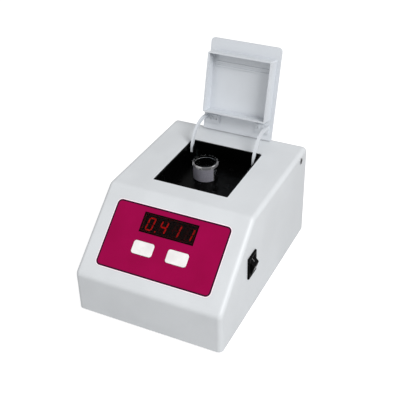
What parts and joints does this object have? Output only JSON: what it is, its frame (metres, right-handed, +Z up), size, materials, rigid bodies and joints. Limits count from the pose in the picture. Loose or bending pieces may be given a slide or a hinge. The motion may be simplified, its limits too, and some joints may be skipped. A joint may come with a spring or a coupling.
{
  "type": "water quality analyzer",
  "caption": "Bench water quality analyzer: wedge housing with a sloping key panel and digital display, rocker switch, and a dark chamber with a round glass cell under a hinged lid.",
  "frame": {"origin": "on the surface that the feet stand on, under the middle of the bounding box of the analyzer with its lid open", "axes": "+Z up, +Y from the key panel towards the rear, +X towards the side with the rocker switch"},
  "size_m": [0.156, 0.2292, 0.1963],
  "materials": {
    "housing_plastic": "satin",
    "base_plastic": "satin",
    "foot_rubber": "matte",
    "panel_film": "semi-gloss",
    "window_red": "gloss",
    "display_black": "matte",
    "segment_lit": "lit",
    "segment_dark": "satin",
    "circuit_board": "semi-gloss",
    "chip_black": "matte",
    "capacitor_can": "satin",
    "plug_white": "satin",
    "ribbon_grey": "satin",
    "key_white": "satin",
    "plunger_plastic": "satin",
    "screw_steel": "bright",
    "screw_black": "satin",
    "screw_painted": "satin",
    "liner_black": "gloss",
    "holder_black": "matte",
    "lamp_clear": "gloss",
    "lens_glass": "polished",
    "filter_glass": "polished",
    "detector_can": "satin",
    "cell_glass": "polished",
    "water": "clear",
    "lid_plastic": "satin",
    "arm_plastic": "satin",
    "axle_steel": "satin",
    "bush_steel": "bright",
    "switch_black": "satin",
    "contact_metal": "bright",
    "inlet_black": "satin",
    "lead_sleeve": "satin"
  },
  "bodies": {
    "housing": {"base_plate": "base_plastic", "base_screws": "screw_steel", "cell_holder": "holder_black", "cell_holder_screws": "screw_black", "chamber_liner": "liner_black", "colour_filter": "filter_glass", "detector": "detector_can", "detector_board": "circuit_board", "detector_lead": "lead_sleeve", "display_board": "circuit_board", "display_board_screws": "screw_steel", "display_chips": "chip_black", "display_module": "display_black", "display_window": "window_red", "hinge_bushes": "bush_steel", "inlet_nut": "screw_steel", "inlet_pin": "contact_metal", "inlet_tags": "contact_metal", "key_switches": "chip_black", "keypad_overlay": "panel_film", "lamp": "lamp_clear", "lamp_board": "circuit_board", "lamp_lead": "lead_sleeve", "lead_plugs": "plug_white", "lens": "lens_glass", "liner_screws": "screw_steel", "lit_segments": "segment_lit", "main_board": "circuit_board", "main_board_capacitors": "capacitor_can", "main_board_chips": "chip_black", "main_board_screws": "screw_steel", "optics_screws": "screw_steel", "power_inlet": "inlet_black", "power_leads": "lead_sleeve", "ribbon_cable": "ribbon_grey", "ribbon_headers": "chip_black", "rubber_feet": "foot_rubber", "switch_case": "switch_black", "switch_terminals": "contact_metal", "unlit_segments": "segment_dark", "upper_housing": "housing_plastic"},
    "lid": {"lid_cover": "lid_plastic", "lid_hood": "lid_plastic", "hinge_arm_left": "arm_plastic", "hinge_arm_right": "arm_plastic", "arm_screws": "screw_painted", "hinge_axle": "axle_steel", "hinge_pins": "screw_steel", "axle_rings": "screw_steel"},
    "cell": {"sample_cell": "cell_glass", "water_sample": "water"},
    "calibrate_button": {"calibrate_key": "key_white", "calibrate_plunger": "plunger_plastic"},
    "zero_button": {"zero_key": "key_white", "zero_plunger": "plunger_plastic"},
    "rocker": {"switch_rocker": "switch_black"}
  },
  "joints": [
    {"name": "lid_hinge", "type": "hinge", "parent": "housing", "child": "lid", "pos_m": [0, 0.07778, 0.095], "axis": [-1, 0, 0], "range_deg": [-104.5, 0]},
    {"name": "power_rocker", "type": "hinge", "parent": "housing", "child": "rocker", "pos_m": [0.07111, -0.04912, 0.0555], "axis": [0, 1, 0], "range_deg": [0, 24]},
    {"name": "calibrate_key_press", "type": "slide", "parent": "housing", "child": "calibrate_button", "axis": [0, 0.6338, -0.7735], "range_m": [0, 0.0005], "stiffness_N_per_m": 600, "springref_m": -0.001},
    {"name": "zero_key_press", "type": "slide", "parent": "housing", "child": "zero_button", "axis": [0, 0.6338, -0.7735], "range_m": [0, 0.0005], "stiffness_N_per_m": 600, "springref_m": -0.001},
    {"name": "cell_lift", "type": "slide", "parent": "housing", "child": "cell", "axis": [0, 0, 1], "range_m": [0, 0.07]}
  ]
}
